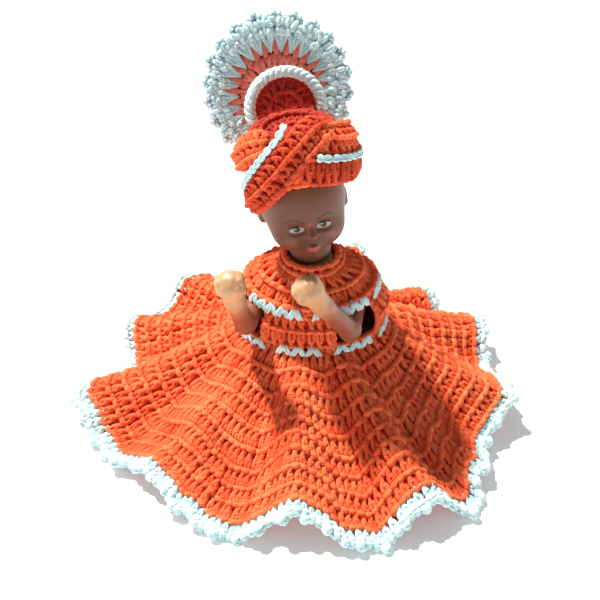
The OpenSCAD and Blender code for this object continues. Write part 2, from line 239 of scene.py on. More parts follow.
def stitches(cloth, u0, u1, v0, v1, count, yarn=0.95, relief=1.0, head=True):
    """One row of double crochet from v0 (its foot) to v1 (its head), count stitches from u0 to u1."""
    w, h = (u1 - u0) / count, v1 - v0
    uc = u0 + (np.arange(count) + 0.5) * w + jitter(count, 0.07 * abs(w))
    tone = jitter(count, 0.30)
    size = (1 + jitter(count, 0.07))[:, None]
    wob = jitter(count, 0.30)[:, None]
    tilt = jitter(count, 0.06)[:, None]

    def lay(x, y, out, radius, t=0.0):
        cloth.strand(uc[:, None] + w * (x + tilt * y), v0 + h * y + 0.03 * h * wob,
                     out * relief * size + 0.22 * wob, radius * size, tone + t)

    # two strands twisted round each other make the post
    twist = np.pi * 1.15 * S9 + 0.3
    fat = yarn * (0.86 + 0.14 * HUMP)
    lay(0.25 * np.cos(twist), -0.12 + 0.98 * S9, 0.25 + 0.42 * np.sin(twist), fat, 0.15)
    lay(-0.25 * np.cos(twist), -0.12 + 0.98 * S9, 0.25 - 0.42 * np.sin(twist), fat, -0.15)
    # the yarn-over that crosses the middle of the post
    lay(-0.30 + 0.62 * S9, 0.30 + 0.26 * S9, 0.10 + 0.85 * HUMP, yarn * 0.74)
    if head:
        # the loops along the head: the front leg lies high and fat, the back leg low
        lay(-0.60 + 1.16 * S9, 0.86 + 0.12 * HUMP, 0.35 + 1.05 * HUMP, yarn * (0.78 + 0.42 * HUMP), 0.25)
        lay(-0.55 + 1.15 * S9, 1.05 - 0.06 * HUMP, -0.25 + 0.55 * HUMP, yarn * (0.78 + 0.25 * HUMP), -0.1)


def chain(cloth, u0, u1, v, count, width, yarn, out):
    """A chain of links along constant v: two legs to a link, width across in v."""
    k = np.arange(count)[:, None]
    w = (u1 - u0) / count
    tone = jitter(count, 0.3)
    for leg in (1, -1):
        u = u0 + w * (k + 0.02 + 1.12 * S9) + jitter(count, 0.04 * abs(w))[:, None]
        y = v + leg * width * (0.18 + 0.42 * np.sin(np.pi * S9 ** 0.8)) * (1 + jitter(count, 0.1))[:, None]
        o = out + 0.45 * HUMP + jitter(count, 0.12)[:, None]
        cloth.strand(u, y, o, yarn * (0.82 + 0.3 * HUMP), tone)


def zigzag(cloth, count, height, skip):
    """White stitches in a zigzag round a seam, two strands to each stroke; every skip-th stitch is left out."""
    u0, v, yarn, out = 0.02, 0.5, 0.74, 1.6
    w = 1.0 / count
    k = np.arange(count)
    k = k[k % skip > 0][:, None]
    count = len(k)
    tone = jitter(count, 0.25)
    for stroke in (1, -1):
        for d in (-0.10, 0.10):
            x = 0.5 * S9 + (0 if stroke > 0 else 0.5)
            u = u0 + w * (k + x + d) + jitter(count, 0.03 * w)[:, None]
            y = v + stroke * height * (S9 - 0.5) * (1 + jitter(count, 0.12))[:, None]
            o = out + 0.75 * HUMP + jitter(count, 0.12)[:, None]
            cloth.strand(u, y, o, yarn * (0.8 + 0.3 * HUMP), tone)


# ---------------------------------------------------------------- materials
def new_material(name):
    mat = bpy.data.materials.new(name)
    mat.use_nodes = True
    nt = mat.node_tree
    nt.nodes.clear()
    out = nt.nodes.new("ShaderNodeOutputMaterial")
    bsdf = nt.nodes.new("ShaderNodeBsdfPrincipled")
    nt.links.new(bsdf.outputs[0], out.inputs[0])
    return mat, nt, bsdf


def node(nt, kind, **props):
    n = nt.nodes.new(kind)
    for key, value in props.items():
        if key in n.inputs:
            n.inputs[key].default_value = value
        else:
            setattr(n, key, value)
    return n


def maths(nt, operation, *values):
    """A sum on numbers and on the sockets that feed it."""
    n = node(nt, "ShaderNodeMath", operation=operation)
    for i, value in enumerate(values):
        if isinstance(value, float):
            n.inputs[i].default_value = value
        else:
            nt.links.new(value, n.inputs[i])
    return n.outputs[0]


def noise(nt, scale, detail, roughness=0.5):
    n = node(nt, "ShaderNodeTexNoise", Scale=scale, Detail=detail, Roughness=roughness)
    nt.links.new(node(nt, "ShaderNodeTexCoord").outputs["Object"], n.inputs["Vector"])
    return n.outputs[0]


def ramp(nt, source, target, low, high, *between):
    """Colours the target by the source: low, high and between are (position, colour)."""
    n = node(nt, "ShaderNodeValToRGB")
    elements = n.color_ramp.elements
    for i, (position, colour) in enumerate((low, high)):
        elements[i].position, elements[i].color = position, (*colour, 1)
    for position, colour in between:
        elements.new(position).color = (*colour, 1)
    nt.links.new(source, n.inputs[0])
    if target:
        nt.links.new(n.outputs[0], target)
    return n.outputs[0]


def surface_feel(nt, bsdf, height, strength, distance, **values):
    """The bump of a material, and the rest of its sockets, named with _ for a space."""
    n = node(nt, "ShaderNodeBump", Strength=strength, Distance=distance)
    nt.links.new(height, n.inputs["Height"])
    nt.links.new(n.outputs[0], bsdf.inputs["Normal"])
    for key, value in values.items():
        bsdf.inputs[key.replace("_", " ")].default_value = value


def yarn_material(name, base, light, dark, glow=0.10):
    """Soft acrylic yarn: plies twisted round the strand, loose fibres, uneven dye."""
    mat, nt, bsdf = new_material(name)
    sep = node(nt, "ShaderNodeSeparateXYZ")
    nt.links.new(node(nt, "ShaderNodeUVMap", uv_map="yarn").outputs[0], sep.inputs[0])
    # plies: diagonal stripes, three round the strand, one turn in about 3 mm
    stripes = maths(nt, "MULTIPLY", sep.outputs[1], 3.0)
    stripes = maths(nt, "ADD", maths(nt, "MULTIPLY", sep.outputs[0], 0.95), stripes)
    ply = maths(nt, "PINGPONG", stripes, 0.5)
    tone = node(nt, "ShaderNodeAttribute", attribute_name="tone").outputs["Fac"]
    shade = maths(nt, "MULTIPLY_ADD", ply, 0.55, maths(nt, "MULTIPLY_ADD", tone, 0.35, 0.42))
    shade = maths(nt, "ADD", shade, maths(nt, "MULTIPLY_ADD", noise(nt, 45.0, 2.0), 0.5, -0.25))
    ramp(nt, shade, bsdf.inputs["Base Color"], (0.05, dark), (0.95, light), (0.5, base))
    fibres = maths(nt, "ADD", maths(nt, "MULTIPLY", ply, 1.4), noise(nt, 2600.0, 3.0, 0.65))
    surface_feel(nt, bsdf, maths(nt, "ADD", fibres, noise(nt, 900.0, 2.0, 0.6)), 0.75, 0.00035,
                 Roughness=0.82, Specular_IOR_Level=0.25, Sheen_Weight=0.45, Sheen_Roughness=0.45,
                 Sheen_Tint=(*light, 1), Subsurface_Weight=glow, Subsurface_Radius=(1.0, 0.4, 0.2),
                 Subsurface_Scale=0.0015)
    return mat


def cloth_material(name, base, dark):
    """The shaded inside of the fabric, seen between the stitches."""
    mat, nt, bsdf = new_material(name)
    rough = noise(nt, 700.0, 4.0, 0.7)
    ramp(nt, rough, bsdf.inputs["Base Color"], (0.3, dark), (0.7, base))
    surface_feel(nt, bsdf, rough, 0.6, 0.0004, Roughness=0.95, Specular_IOR_Level=0.1, Sheen_Weight=0.3)
    return mat


ORANGE = yarn_material("orange_yarn_strands", (0.96, 0.14, 0.046), (1.0, 0.25, 0.095), (0.70, 0.045, 0.014))
WHITE = yarn_material("white_yarn_strands", (0.60, 0.85, 0.86), (0.80, 0.98, 0.98), (0.42, 0.62, 0.65), glow=0.25)
RED = yarn_material("red_yarn_strands", (0.90, 0.21, 0.145), (0.92, 0.26, 0.19), (0.60, 0.08, 0.05))
# a darker copy of the red yarn: painted shade for the hollow crown and the crest's shell
RED_PAINTED_SHADE = yarn_material("red_yarn_strands_painted_shade", (0.50, 0.045, 0.028), (0.58, 0.06, 0.035), (0.22, 0.010, 0.008))
# a darker copy of the orange yarn: painted shade on the turban's front wraps
ORANGE_PAINTED_SHADE = yarn_material("orange_yarn_strands_painted_shade", (0.60, 0.055, 0.018), (0.78, 0.12, 0.045), (0.36, 0.020, 0.008))
ORANGE_IN = cloth_material("orange_yarn_shade", (0.72, 0.070, 0.020), (0.42, 0.030, 0.010))
WHITE_IN = cloth_material("white_yarn_shade", (0.50, 0.66, 0.68), (0.36, 0.47, 0.50))
ORANGE_DARK = cloth_material("orange_yarn_deep_shade", (0.20, 0.014, 0.005), (0.08, 0.006, 0.003))
RED_IN = cloth_material("red_yarn_shade", (0.46, 0.045, 0.028), (0.26, 0.018, 0.012))


# ---------------------------------------------------------------- the skirt's surface
HEM_TURNS = np.array([part for f in FOLDS for part in (f[:3], f[3:])], float)
HEM_TURNS = np.concatenate([HEM_TURNS, HEM_TURNS[:1] + [[360, 0, 0]]])


def hem_at(a):
    """Reach and lift of the hem in direction a, in degrees."""
    at, reach, lift = HEM_TURNS.T
    a = np.mod(a - at[0], 360) + at[0]
    i = np.clip(np.searchsorted(at, a, side="right") - 1, 0, len(at) - 2)
    t = ease((a - at[i]) / (at[i + 1] - at[i]))
    return reach[i] + (reach[i + 1] - reach[i]) * t, lift[i] + (lift[i + 1] - lift[i]) * t


def waist_reach(a):
    """How far the waist lies from the skirt's middle in direction a, in radians."""
    rx, ry, m = WAIST_RX - 1, WAIST_RY - 1, DOLL_X - SKIRT_X
    c, s = np.cos(a), np.sin(a)
    A = c * c / rx ** 2 + s * s / ry ** 2
    B = -m * c / rx ** 2
    C = m * m / rx ** 2 - 1
    return (-B + np.sqrt(B * B - A * C)) / A


def ripple(x, y, seed):
    """Smooth uneven bumps of about unit height: a few waves laid across each other."""
    r = np.random.default_rng(seed)
    total = 0
    for _ in range(7):
        a, b, c = r.normal(0, 1, 3)
        total = total + np.sin(x * a * 1.6 + y * b * 1.6 + c * 6)
    return total / 2.6


def skirt_surface(u, v):
    """u is turns round the skirt from +X, v is 0 at the waist and 1 at the hem."""
    a = u * 360.0
    ang = np.radians(a)
    reach, lift = hem_at(a)
    # small uneven waves that grow towards the hem
    grow = np.clip(v, 0, 1.1) ** 2
    wave = (np.sin(ang * 31 + 1.0) * 0.7 + np.sin(ang * 47 + 4.0) * 0.5) * grow
    top = waist_reach(ang)
    r = top + (reach + wave - top) * v
    bend = 1.5 + (1.12 - 1.5) * np.minimum(1, lift / 14)
    w = np.clip(1 - v, 0, None)
    z = HEM_FLOOR + lift + (SKIRT_TOP_Z - HEM_FLOOR - lift) * w ** bend
    z = z + 0.8 * np.sin(ang * 39 + 2.0) * grow + 0.35 * grow
    bump = ripple(np.cos(ang) * r / 9, np.sin(ang) * r / 9, 5) * np.clip(v * 4, 0, 1)
    return around(ang, r, np.maximum(z + 0.9 * bump, 0.9)) + [SKIRT_X, MID_Y, 0]


def sheet_grid(name, surface, nu, nv, v0, v1, body, material, u0=0.0, u1=1.0, closed=True, out=0.0):
    """A thin cloth under the stitches."""
    u = u0 + (u1 - u0) * np.arange(nu if closed else nu + 1) / nu
    U, V = np.meshgrid(u, np.linspace(v0, v1, nv), indexing="ij")
    e = 1e-4
    P = surface(U, V)
    P = P + unit(np.cross(surface(U, V + e) - P, surface(U + e, V) - P)) * out
    return make_mesh(name, P.reshape(-1, 3), grid_quads(len(u), nv, closed), body, material)


def area_of(ob):
    me = ob.data
    a = np.zeros(len(me.polygons))
    me.polygons.foreach_get("area", a)
    return float(a.sum())


def ring_length(surface, v, n=720):
    p = surface(np.arange(n) / n, np.full(n, v))
    return np.linalg.norm(p - np.roll(p, 1, axis=0), axis=1).sum()


# ---------------------------------------------------------------- skirt
SKIRT_ROWS = 9
skirt_cloth = sheet_grid("skirt_cloth", skirt_surface, 540, 48, 0.0, 0.985, "torso", ORANGE_IN, out=-0.5)
ends = np.linspace(0.0, 1 - BORDER, SKIRT_ROWS + 1)
for r in range(SKIRT_ROWS):
    c = Cloth(skirt_surface)
    count = int(round(ring_length(skirt_surface, (ends[r] + ends[r + 1]) / 2) / 4.0))
    stitches(c, 0, 1, ends[r], ends[r + 1], count, yarn=1.12)
    c.build("skirt_round_%02d" % (r + 1), "torso", ORANGE, 2.2, 2.4)

# the white border: a row of stitches and a row of bumps along the edge
c = Cloth(skirt_surface)
edge_count = int(round(ring_length(skirt_surface, 1.0) / 4.0))
stitches(c, 0, 1, 1 - BORDER - 0.012, 0.985, edge_count, yarn=1.08, relief=1.1)
k = np.arange(edge_count)
w = 1 / edge_count
big = 1 + 0.9 * np.clip(np.sin(k * 2 * np.pi / 3.1 + 0.5 * np.sin(k * 0.37)), 0, 1) + jitter(edge_count, 0.15)
for side in (1, -1):
    u = (k + 0.5)[:, None] * w + w * (-0.55 + 1.1 * S9) + jitter(edge_count, 0.06 * w)[:, None]
    v = 0.980 + 0.026 * HUMP * big[:, None]
    fat = 1.15 * (0.85 + 0.25 * HUMP) * np.sqrt(big)[:, None]
    c.strand(u, v, side * 0.75 + 0.25 * HUMP, fat, jitter(edge_count, 0.3))
hem_edge = c.build("hem_edging", "torso", WHITE)
min(area_of(skirt_cloth), 0.66 * 0.084)
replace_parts(skirt_cloth, "skirt")
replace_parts(hem_edge, "hem_border")


# ---------------------------------------------------------------- smooth lines and frames
def turn(axis, degrees):
    return np.array(Matrix.Rotation(math.radians(degrees), 3, axis))


HEAD_TURN = turn("Y", -HEAD_TILT) @ turn("Z", HEAD_YAW)
CREST_LEAN, FACE_ON = turn("X", -24), turn("X", 90)


def at_head(p):
    return p @ HEAD_TURN.T + [DOLL_X, MID_Y, NECK_Z]


def at_crest(p):
    return at_head((p @ FACE_ON.T + [0, 0, 24]) @ CREST_LEAN.T + [0.7, 27, 44])


def on_line(stations, t):
    """Points on a smooth line through the stations, a share t of the way along."""
    s = np.asarray(stations, float)
    n = len(s) - 1
    i = np.clip(np.floor(t * n).astype(int), 0, n - 1)
    f = (t * n - i)[..., None]
    p0, p1, p2, p3 = s[np.maximum(i - 1, 0)], s[i], s[i + 1], s[np.minimum(i + 2, n)]
    return 0.5 * (2 * p1 + (p2 - p0) * f + (2 * p0 - 5 * p1 + 4 * p2 - p3) * f ** 2
                  + (3 * p1 - p0 - 3 * p2 + p3) * f ** 3)


def crossed(surface):
    """The same surface with u and v changed over, for edges that run the other way."""
    return lambda u, v: surface(v, u)


# ---------------------------------------------------------------- bodice and yoke
def shell_surface(levels, inset=1.3):
    """Round the body: u is turns from +X, v is 0 at the bottom and 1 at the top."""
    def surface(u, v):
        a = u * 2 * np.pi
        rx, ry, z, drop = np.moveaxis(on_line(levels, v), -1, 0)
        return around(a, rx - inset, z + drop * np.minimum(0, np.sin(a)), ry - inset) + [DOLL_X, MID_Y, 0]
    return surface


def strip(name, surface, first, last, rows, edges=(), closed=False):
    """A cloth from one direction to another with rows of stitches on it: a thin sheet inside, the yarn outside."""
    n, yarn = 20, 1.0
    u0, u1 = first / 360, last / 360
    u, v = np.linspace(u0, u1, n), np.linspace(0, 1, n)

    def length(u, v):
        return np.linalg.norm(np.diff(surface(u, v), axis=0), axis=1).sum()

    width, height = length(u, np.full(n, 0.5)), length(np.full(n, (u0 + u1) / 2), v)
    cloth = sheet_grid(name + "_cloth", surface, 120 if closed else 60, 24, 0.0, 1.0, "torso", ORANGE_IN,
                       u0, u1, closed, 0.5)
    c = Cloth(surface, -1)
    ends = np.linspace(0, 1, rows + 1)
    for r in range(rows):
        count = max(3, int(round(length(u, np.full(n, (ends[r] + ends[r + 1]) / 2)) / STITCH)))
        stitches(c, u0, u1, ends[r], ends[r + 1], count, yarn)
    e = Cloth(crossed(surface), 1)
    for at in edges:
        chain(e, 0, 1, at / 360, int(height / 2.6), 0.9 / (width / abs(u1 - u0)), yarn * 0.85, out=0.4)
    c.parts += e.parts
    knit = c.build(name + "_stitches", "torso", ORANGE)
    area = area_of(cloth)
    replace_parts(cloth, name)


BODICE = [[34, 26, 51.2, 0], [33.4, 25.2, 58, 1.5], [31.6, 23.6, 65, 2.8], [28.6, 21.5, 71, 4]]
SLEEVE = [[34, 26, 51.2, 0], [35.2, 26.8, 58, 1.5], [34, 26.2, 65, 2.8], [29, 21.7, 71, 4]]
STITCH = 3.9                # width of one stitch on the frock and the cap
YOKE = [[29.4, 22.2, 71.6, 4], [23.5, 18, 78.4, 2.6], [14.5, 14, 82.4, 0.6], [12.6, 12.6, 84.8, 0]]
bodice, sleeve, yoke = shell_surface(BODICE), shell_surface(SLEEVE), shell_surface(YOKE)
strip("bodice_front", bodice, 229, 288, 2, edges=(229, 288))
strip("bodice_back", bodice, 35, 145, 2)
strip("right_sleeve", sleeve, 145.4, 190.5, 2, edges=(190.5,))
strip("left_sleeve", sleeve, -31, 34.6, 2, edges=(-31,))
strip("yoke", yoke, 0, 360, 3, closed=True)


# a dark gathered sheet inside, from the body out to the waist: painted shade, so the hollow under the bodice reads dark
def waist_shade_sheet_surface(u, v):
    a = u * 2 * np.pi
    rx, ry = 14.2 + (32.0 - 14.2) * v, 14.2 + (24.0 - 14.2) * v
    z = 49.2 + 0.5 * np.sin(a * 24) * v - 1.6 * v * (1 - v)
    return around(a, rx, z, ry) + [DOLL_X, MID_Y, 0]


waist_shade_sheet = sheet_grid("waist_painted_shade_sheet", waist_shade_sheet_surface, 288, 14, 0, 1, "torso", ORANGE_DARK)
min(area_of(waist_shade_sheet), 0.19 * 0.0125)

# the neck's edge: a plain round of chain
c = Cloth(yoke, -1)
chain(c, 0, 1, 1.0, 22, 0.09, 0.95, out=0.6)
c.build("neck_edging", "torso", ORANGE)

# the seams: an orange round under each white zigzag
waist = shell_surface([[34.2, 26.2, 47.6, 0], [33.6, 25.6, 51.7, 0]], inset=1.4)
seam_y = shell_surface([[30.2, 22.9, 69.0, 4], [29.2, 22.0, 74.2, 4]], inset=1.0)
for name, surface, count, white_name, node_name, white_count, tall, skip in (
        ("waist_seam", waist, 50, "waist_zigzag", "waist_trim", 32, 1.12, 4),
        ("yoke_seam", seam_y, 40, "yoke_zigzag", "yoke_trim", 34, 1.05, 6)):
    c = Cloth(surface, -1)
    stitches(c, 0, 1, 0.0, 1.0, count, yarn=0.95)
    c.build(name, "torso", ORANGE)
    c = Cloth(surface, -1)
    zigzag(c, white_count, tall, skip)
    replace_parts(c.build(white_name, "torso", WHITE), node_name)


# ---------------------------------------------------------------- turban
CAP_MID, CAP_TOP, CAP_BRIM, BRIM_RISE, TURBAN_R, ROUND = 46.0, 71.5, 34.0, math.tan(math.radians(20)), 23.0, 2.5


def dome_normal(a, z):
    q = np.clip((z - CAP_MID) / (CAP_TOP - CAP_MID), 0, 0.998)
    up = q ** (ROUND - 1) / (CAP_TOP - CAP_MID)
    out = (1 - q ** ROUND) ** ((ROUND - 1) / ROUND) / TURBAN_R
    return unit(around(np.radians(a), out, up))


def dome(a, z, out):
    """A point on the turban: direction in degrees, height in the head's frame, distance out."""
    q = np.clip((z - CAP_MID) / (CAP_TOP - CAP_MID), 0, 0.998)
    r = TURBAN_R * (1 - q ** ROUND) ** (1 / ROUND)
    return around(np.radians(a), r, z) + dome_normal(a, z) * out


# [radius, height] down the cap's outside from the crown's rim, and across the hollow crown inside the rim
CAP_LINE = [[13.6, 64.0], [16.6, 62.6], [19.0, 59.0], [20.4, 54], [20.8, 48], [20.6, 44]]
CROWN_LINE = [[1.4, 61.4], [5, 61.2], [9.5, 61.9], [13.2, 63.6]]


def cap_surface(u, v):
    """u is turns, v is 0 at the crown's rim and 1 at the brim."""
    a = u * 2 * np.pi
    line = on_line(CAP_LINE, v)
    brim = CAP_BRIM + 2.0 - BRIM_RISE * TURBAN_R * np.sin(a) + 4.5 * np.clip(-np.sin(a), 0, 1)
    z = 64.0 - (64.0 - line[..., 1]) * (64.0 - brim) / (64.0 - 44.0)
    return at_head(around(a, line[..., 0], z))


def crown_surface(u, v):
    line = on_line(CROWN_LINE, v)
    return at_head(around(u * 2 * np.pi, line[..., 0], line[..., 1]))


def rounds(name, surface, first, last, rows, pitch, yarn, material):
    """Rounds of stitches numbered first to last, of a surface that has so many rows."""
    c = Cloth(surface)
    for r in range(first, last):
        count = int(round(ring_length(surface, (r + 0.5) / rows) / pitch))
        stitches(c, 0, 1, r / rows, (r + 1) / rows, max(7, count), yarn)
    return c.build(name, "turban", material)


cap_cloth = sheet_grid("turban_cap_cloth", cap_surface, 120, 40, 0.0, 1.0, "turban", ORANGE_IN, out=-0.6)
cap_knit = rounds("turban_cap_stitches", cap_surface, 1, 5, 5, 3.9, 0.98, ORANGE)
min(area_of(cap_cloth) * 0.98, 0.144 * 0.036)
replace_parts(cap_cloth, "turban_cap")
crown_cloth = sheet_grid("turban_crown_cloth", crown_surface, 90, 14, -0.08, 1.1, "turban", RED_IN, out=0.6)
# the crown's rounds and the cap's top round use the darker red yarn: painted shade over the hollow crown
crown_knit = rounds("turban_crown_stitches", crown_surface, 0, 2, 2, 3.7, 0.98, RED_PAINTED_SHADE)
edge_knit = rounds("turban_crown_edge", cap_surface, 0, 1, 5, 3.7, 1.0, RED_PAINTED_SHADE)
min(area_of(crown_cloth), 0.0265 ** 2)


def band_surface(stations, out, taper=True):
    """u runs along the band, v across it from edge to edge (-1 to 1), over its rounded back."""
    def surface(u, v):
        e = 1e-3
        st = on_line(stations, u)
        p = dome(st[..., 0], st[..., 1], out)
        ahead, behind = on_line(stations, u + e), on_line(stations, u - e)
        along = unit(dome(ahead[..., 0], ahead[..., 1], out) - dome(behind[..., 0], behind[..., 1], out))
        nrm = dome_normal(st[..., 0], st[..., 1])
        side = unit(np.cross(nrm, along))
        k = np.sqrt(np.clip(np.minimum(u, 1 - u) * 7, 0.12, 1)) if taper else 1.0
        w, h = st[..., 2] / 2 * k, st[..., 3] / 2 * k
        return at_head(p + side * (w * np.sin(v * np.pi / 2))[..., None] + nrm * (h * np.cos(v * np.pi / 2))[..., None])
    return surface


def band(name, stations, out, rows, pitch, yarn=1.0, material=ORANGE):
    """A padded band of crochet along stations of [direction, height, width, thickness]."""
    # the yarn stands round the padding, which is so much narrower, thinner and deeper
    stations = [[st[0], st[1], st[2] - 2.4, st[3] - 1.0] for st in stations]
    surface = band_surface(stations, out - 0.9)
    u = np.linspace(0, 1, 60)
    length = np.linalg.norm(np.diff(surface(u, 0 * u), axis=0), axis=1).sum()
    core = sheet_grid(name + "_cloth", surface, 70, 33, -1.7, 1.7, "turban", ORANGE_IN, 0, 1, False, 0.5)
    c = Cloth(surface, -1)
    ends = np.linspace(-0.66, 0.66, rows + 1)
    for r in range(rows):
        stitches(c, 0.02, 0.98, ends[r], ends[r + 1], int(round(length / pitch)), yarn, 1.1)
    for v in (-0.86, 0.86):
        chain(c, 0.01, 0.99, v, int(length / 3.0), 0.16, yarn * 0.95, out=0.3)
    c.build(name + "_stitches", "turban", material, 1.2, 1.2)
    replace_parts(core, name)


BRIM = [[10, 37, 9, 4.6], [50, 33, 9, 4.6], [90, 31, 9, 4.6], [130, 33, 9, 4.6], [172, 37, 9, 4.6]]
DIAGONAL = [[322, 66.5, 13, 4.6], [292, 66.5, 14, 5.4], [262, 62, 14, 5.6], [238, 53, 14, 5.6], [218, 44.5, 13.4, 5.6],
            [205, 38.5, 11, 5]]
SIDE = [[264, 57.5, 13.5, 4.6], [296, 53.3, 13.5, 4.8], [330, 48.3, 13.5, 5], [360, 44.6, 13, 5], [382, 42, 11, 4.6]]
CROWN = [[288, 66, 12, 5], [322, 61, 14, 6.4], [352, 56, 14, 6.4], [380, 51, 11, 5]]
SIDE_ROLL = [[228, 66, 11, 4.6], [206, 63.5, 13, 6], [187, 58.5, 13.5, 6.2], [170, 52, 11, 5]]
band("brim_band", BRIM, 0.2, 1, 3.8)
# the two front wraps take the darker orange yarn: painted shade
band("diagonal_wrap", DIAGONAL, 2.2, 2, 3.7, yarn=1.05, material=ORANGE_PAINTED_SHADE)
band("side_wrap", SIDE, 1.9, 1, 3.5, material=ORANGE_PAINTED_SHADE)
band("crown_roll", CROWN, 1.6, 2, 3.8)
band("side_roll", SIDE_ROLL, 0.4, 2, 3.8)
CORDS = (("diagonal_cord", [[256, 69.4], [234, 62.4], [215, 53.8], [204, 46.6]], 3.0),
         ("side_cord", [[284, 59.5], [314, 55], [345, 50], [372, 46.4]], 4.0))
for name, line, out in CORDS:
    stations = [place + [2.4, 2] for place in line]
    c = Cloth(band_surface(stations, out, taper=False), -1)
    chain(c, 0.0, 1.0, 0.0, 12, 0.75, 0.60, out=0.0)
    c.strand(np.linspace(0.01, 0.99, 40)[None], 0.0, -0.35, 0.95)
    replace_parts(c.build(name + "_chain", "turban", WHITE, 0.8, 1.0), name)


# ---------------------------------------------------------------- crest
def disc(z, shift=(0, 0, 0)):
    """A flat round: u is turns, v is the radius in mm, at height z in the crest's frame."""
    def surface(u, v):
        return at_crest(around(u * 2 * np.pi, v, z) + np.array(shift))
    return surface


def rounded_ring(name, line, n, shift, material, arc=1.0):
    """A solid of the crest turned through a line of [radius, height] points, closed on itself."""
    line = np.array(line, float)
    closed = arc == 1.0
    a = (np.arange(n if closed else n + 1) / n * arc * 2 * np.pi)[:, None]
    P = around(a, line[:, 0], line[:, 1]).reshape(-1, 3)
    make_mesh(name, at_crest(P + np.array(shift)), grid_quads(len(a), len(line), closed, True), "turban", material)


SPIKES, SCALLOPS, KNOBS = 26, 22, 70


LOW = (0, -2.6, 0)          # the red round sits lower than the white one
FAN_LINE = [(0.01, 0.7), (12, 0.8), (22.4, 0.8), (23.4, 0), (22.4, -0.8), (12, -0.8), (0.01, -0.7)]
BORDER_LINE = [(22.2, 0), (23.6, 1.0), (27, 1.5), (29.6, 1.1), (30.6, 0), (29.6, -1.1), (27, -1.5), (23.6, -1.0)]
rounded_ring("crest_fan_cloth", FAN_LINE, 96, LOW, RED_IN)
rounded_ring("crest_border_cloth", BORDER_LINE, 96, (0, 0, 0), WHITE_IN)
red, white = [], []
spike_u, su = np.arange(SPIKES) / SPIKES, np.arange(SCALLOPS) / SCALLOPS
gap_u = spike_u + 0.5 / SPIKES
# across a scallop: where each loop of the edge stands, how far it reaches and how fat it is
EDGE_LOOPS = ((-0.40, 29.8, 1.25), (-0.22, 31.6, 1.45), (0.0, 32.5, 1.55), (0.22, 31.6, 1.45), (0.40, 30.0, 1.25))
for side in (1, -1):
    c = Cloth(disc(side * 0.9, LOW), side)
    for r0, r1 in ((1.2, 5.6), (5.6, 11.4), (11.4, 18.0)):
        stitches(c, 0, 1, r0, r1, max(7, int(round(np.pi * (r0 + r1) / 3.0))), 1.2, 0.7, head=False)
    # the spikes: red posts that end in a point between the white ones
    for d in (-0.16, 0.0, 0.16):
        c.strand(spike_u[:, None] + d / SPIKES * (1 - S9 * 0.9), 16.6 + 6.2 * S9 + jitter(SPIKES, 0.5)[:, None],
                 0.55 + 0.25 * HUMP, 1.15 * (1 - 0.72 * S9), jitter(SPIKES, 0.3))
    red += c.parts
    c = Cloth(disc(side * 0.9, LOW), side)
    for j in (-1, 0, 1):
        c.strand(gap_u[:, None] + 0.42 / SPIKES * j * S9 ** 0.8 + jitter(SPIKES, 0.0008)[:, None],
                 17.6 + 8.8 * S9 + jitter(SPIKES, 0.25)[:, None], 0.35 + 0.35 * HUMP + jitter(SPIKES, 0.15)[:, None],
                 1.12 * (0.62 + 0.48 * S9), jitter(SPIKES, 0.3))
    white += c.parts
    c = Cloth(disc(side * 0.9), side)
    # the second white round: a shell of posts to each scallop, knobbly all over, with fat loops along its edge
    for row, (r0, r1) in enumerate(((22.4, 26.4), (25.6, 30.6))):
        for j in np.linspace(-0.42, 0.42, 4):
            u = su[:, None] + (j * (0.86 + 0.14 * S9) + 0.16 * row) / SCALLOPS + jitter(SCALLOPS, 0.0018)[:, None]
            r = r0 + (r1 - r0) * S9 + jitter(SCALLOPS, 0.5)[:, None]
            c.strand(u, r, 0.6 + 0.7 * HUMP + jitter(SCALLOPS, 0.25)[:, None], 1.25 * (0.8 + 0.3 * HUMP),
                     jitter(SCALLOPS, 0.35))
    ku, kr, lean = (rng.uniform(low, high, KNOBS)[:, None] for low, high in ((0, 1), (25.0, 30.0), (-1, 1)))
    c.strand(ku + lean * 0.012 * (S9 - 0.5), kr + (1.2 - np.abs(lean)) * 1.6 * (S9 - 0.5), 1.0 + 0.8 * HUMP,
             1.05 * (0.8 + 0.35 * HUMP), jitter(KNOBS, 0.4))
    for d, top, fat in EDGE_LOOPS:
        u = su[:, None] + (d + 0.20 * (S9 - 0.5)) / SCALLOPS + jitter(SCALLOPS, 0.0010)[:, None]
        r = top - 1.5 + 1.3 * HUMP + jitter(SCALLOPS, 0.25)[:, None]
        c.strand(u, r, 0.25 + 0.45 * HUMP, fat * (0.75 + 0.3 * HUMP), jitter(SCALLOPS, 0.3))
    white += c.parts
c = Cloth(None)
c.parts = red
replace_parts(c.build("crest_fan_stitches", "turban", RED), "crest_fan")
c.parts = white
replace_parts(c.build("crest_border_stitches", "turban", WHITE), "crest_border")

# the small half shell in front, hollowed, with a thick rolled rim
SHELL = (1.5, -9.5, 0)
SHELL_LINE = [(0.01, 2.0), (7, 2.2), (12, 2.8), (14.2, 3.6), (14.6, 2.6), (12, 1.6), (0.01, 1.5)]
rounded_ring("crest_shell_cloth", SHELL_LINE, 48, SHELL, RED_IN, arc=0.5)
c = Cloth(disc(2.2, SHELL))
for r0, r1 in ((1.0, 7.4), (7.4, 14.2)):
    stitches(c, -0.02, 0.52, r0, r1, max(4, int(round(np.pi * (r0 + r1) / 2 / 3.6))), yarn=0.95)
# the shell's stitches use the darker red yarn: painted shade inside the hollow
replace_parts(c.build("crest_shell_stitches", "turban", RED_PAINTED_SHADE), "crest_shell")


def rope(name, node_name, body, centre, across, up, radius, yarn, turns, strands):
    """White strands twisted round a line: across and up are unit vectors square to it at every point."""
    phase = 2 * np.pi * (turns * np.linspace(0, 1, len(centre)) + np.arange(strands)[:, None] / strands)[..., None]
    path = centre + radius * (np.cos(phase) * across + np.sin(phase) * up)
    c = Cloth(None)
    c.parts = [(path, np.full(path.shape[:2], yarn), unit(path - centre), 9, jitter(strands, 0.2))]
    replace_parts(c.build(name, body, WHITE), node_name)


